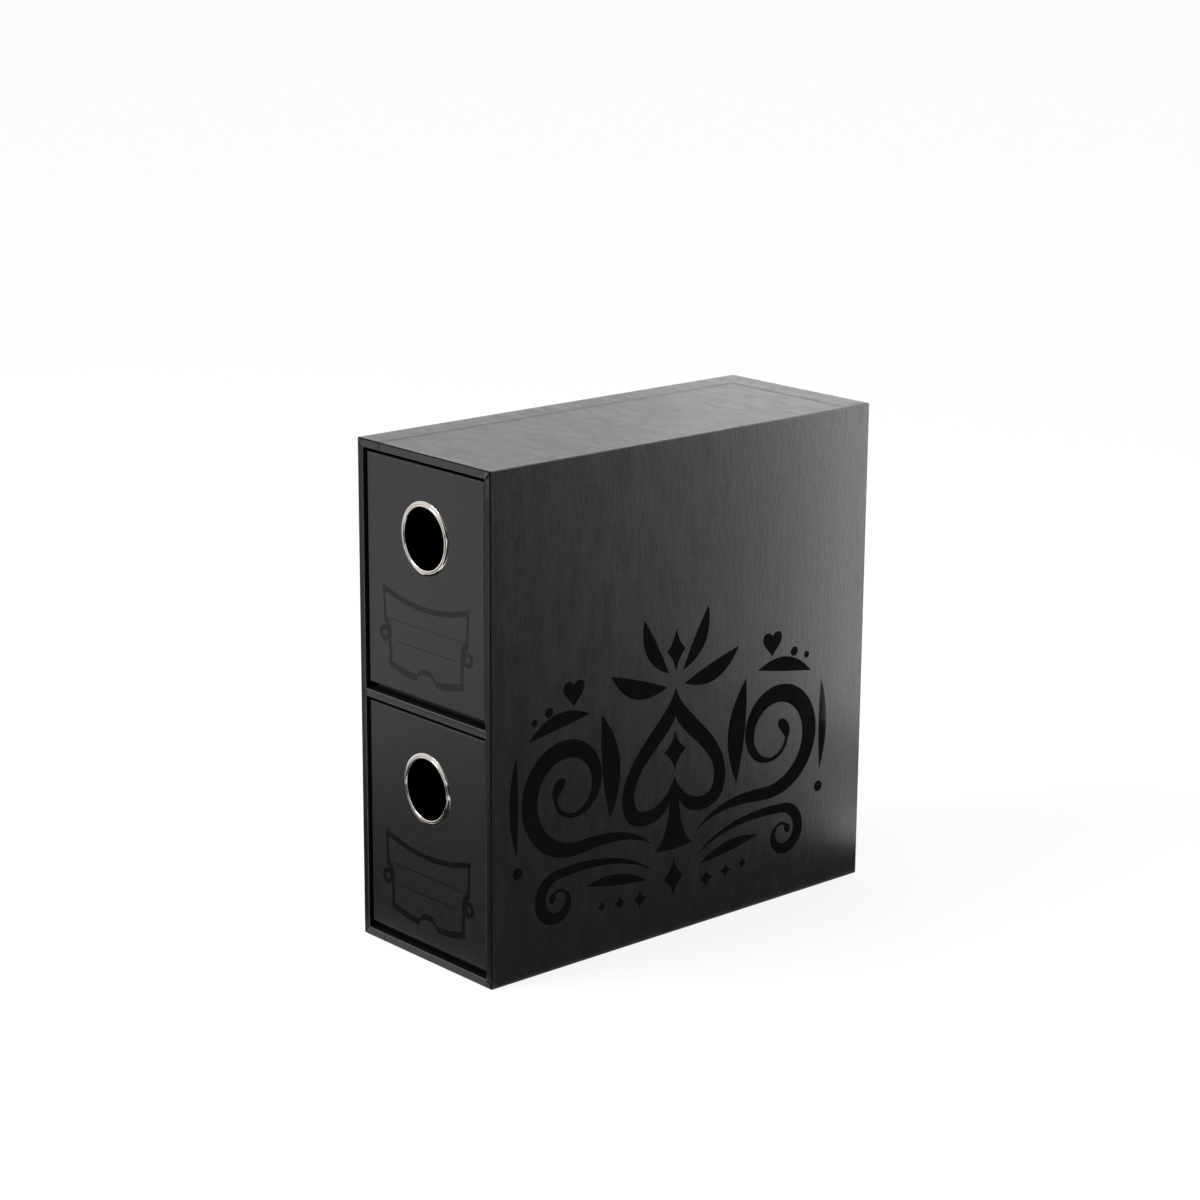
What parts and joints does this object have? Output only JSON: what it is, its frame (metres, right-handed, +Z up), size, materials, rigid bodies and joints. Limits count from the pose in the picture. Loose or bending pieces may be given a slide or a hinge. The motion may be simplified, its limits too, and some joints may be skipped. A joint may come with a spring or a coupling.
{
  "type": "card storage box with drawers",
  "caption": "Upright card storage case wrapped in black paper, with stacked drawers that slide out at the front and are pulled by a metal-ringed finger hole in each.",
  "frame": {"origin": "middle of the outer box on the plane that the case stands on", "axes": "+X across the case towards the printed side, front with the drawers towards -Y, +Z up"},
  "size_m": [0.083, 0.207, 0.21],
  "materials": {
    "cover_paper": "black leather-grain covering paper, low sheen",
    "lining_paper": "plain black lining paper",
    "greyboard": "raw greyboard, hidden under the paper",
    "nickel": "polished nickel-plated steel",
    "gloss_print": "glossy black print on the covering paper"
  },
  "bodies": {
    "case": {"left_side_board": "greyboard", "right_side_board": "greyboard", "top_board": "greyboard", "bottom_board": "greyboard", "back_board": "greyboard", "shelf_board": "greyboard", "left_cover": "cover_paper", "back_cover": "cover_paper", "main_cover": "cover_paper", "bottom_cover": "cover_paper", "shelf_cover": "cover_paper", "lower_bay_lining": "lining_paper", "upper_bay_lining": "lining_paper"},
    "lower_drawer": {"lower_front_board": "greyboard", "lower_front_cover": "cover_paper", "lower_front_wall": "greyboard", "lower_left_wall": "greyboard", "lower_right_wall": "greyboard", "lower_back_wall": "greyboard", "lower_base_board": "greyboard", "lower_tray_cover": "cover_paper", "lower_base_cover": "cover_paper", "lower_tray_lining": "lining_paper", "lower_eyelet": "nickel", "lower_eyelet_washer": "nickel"},
    "upper_drawer": {"upper_front_board": "greyboard", "upper_front_cover": "cover_paper", "upper_front_wall": "greyboard", "upper_left_wall": "greyboard", "upper_right_wall": "greyboard", "upper_back_wall": "greyboard", "upper_base_board": "greyboard", "upper_tray_cover": "cover_paper", "upper_base_cover": "cover_paper", "upper_tray_lining": "lining_paper", "upper_eyelet": "nickel", "upper_eyelet_washer": "nickel"}
  },
  "joints": [
    {"name": "lower_drawer_slide", "type": "slide", "parent": "case", "child": "lower_drawer", "axis": [0, -1, 0], "range_m": [0, 0.185]},
    {"name": "upper_drawer_slide", "type": "slide", "parent": "case", "child": "upper_drawer", "axis": [0, -1, 0], "range_m": [0, 0.185]}
  ]
}
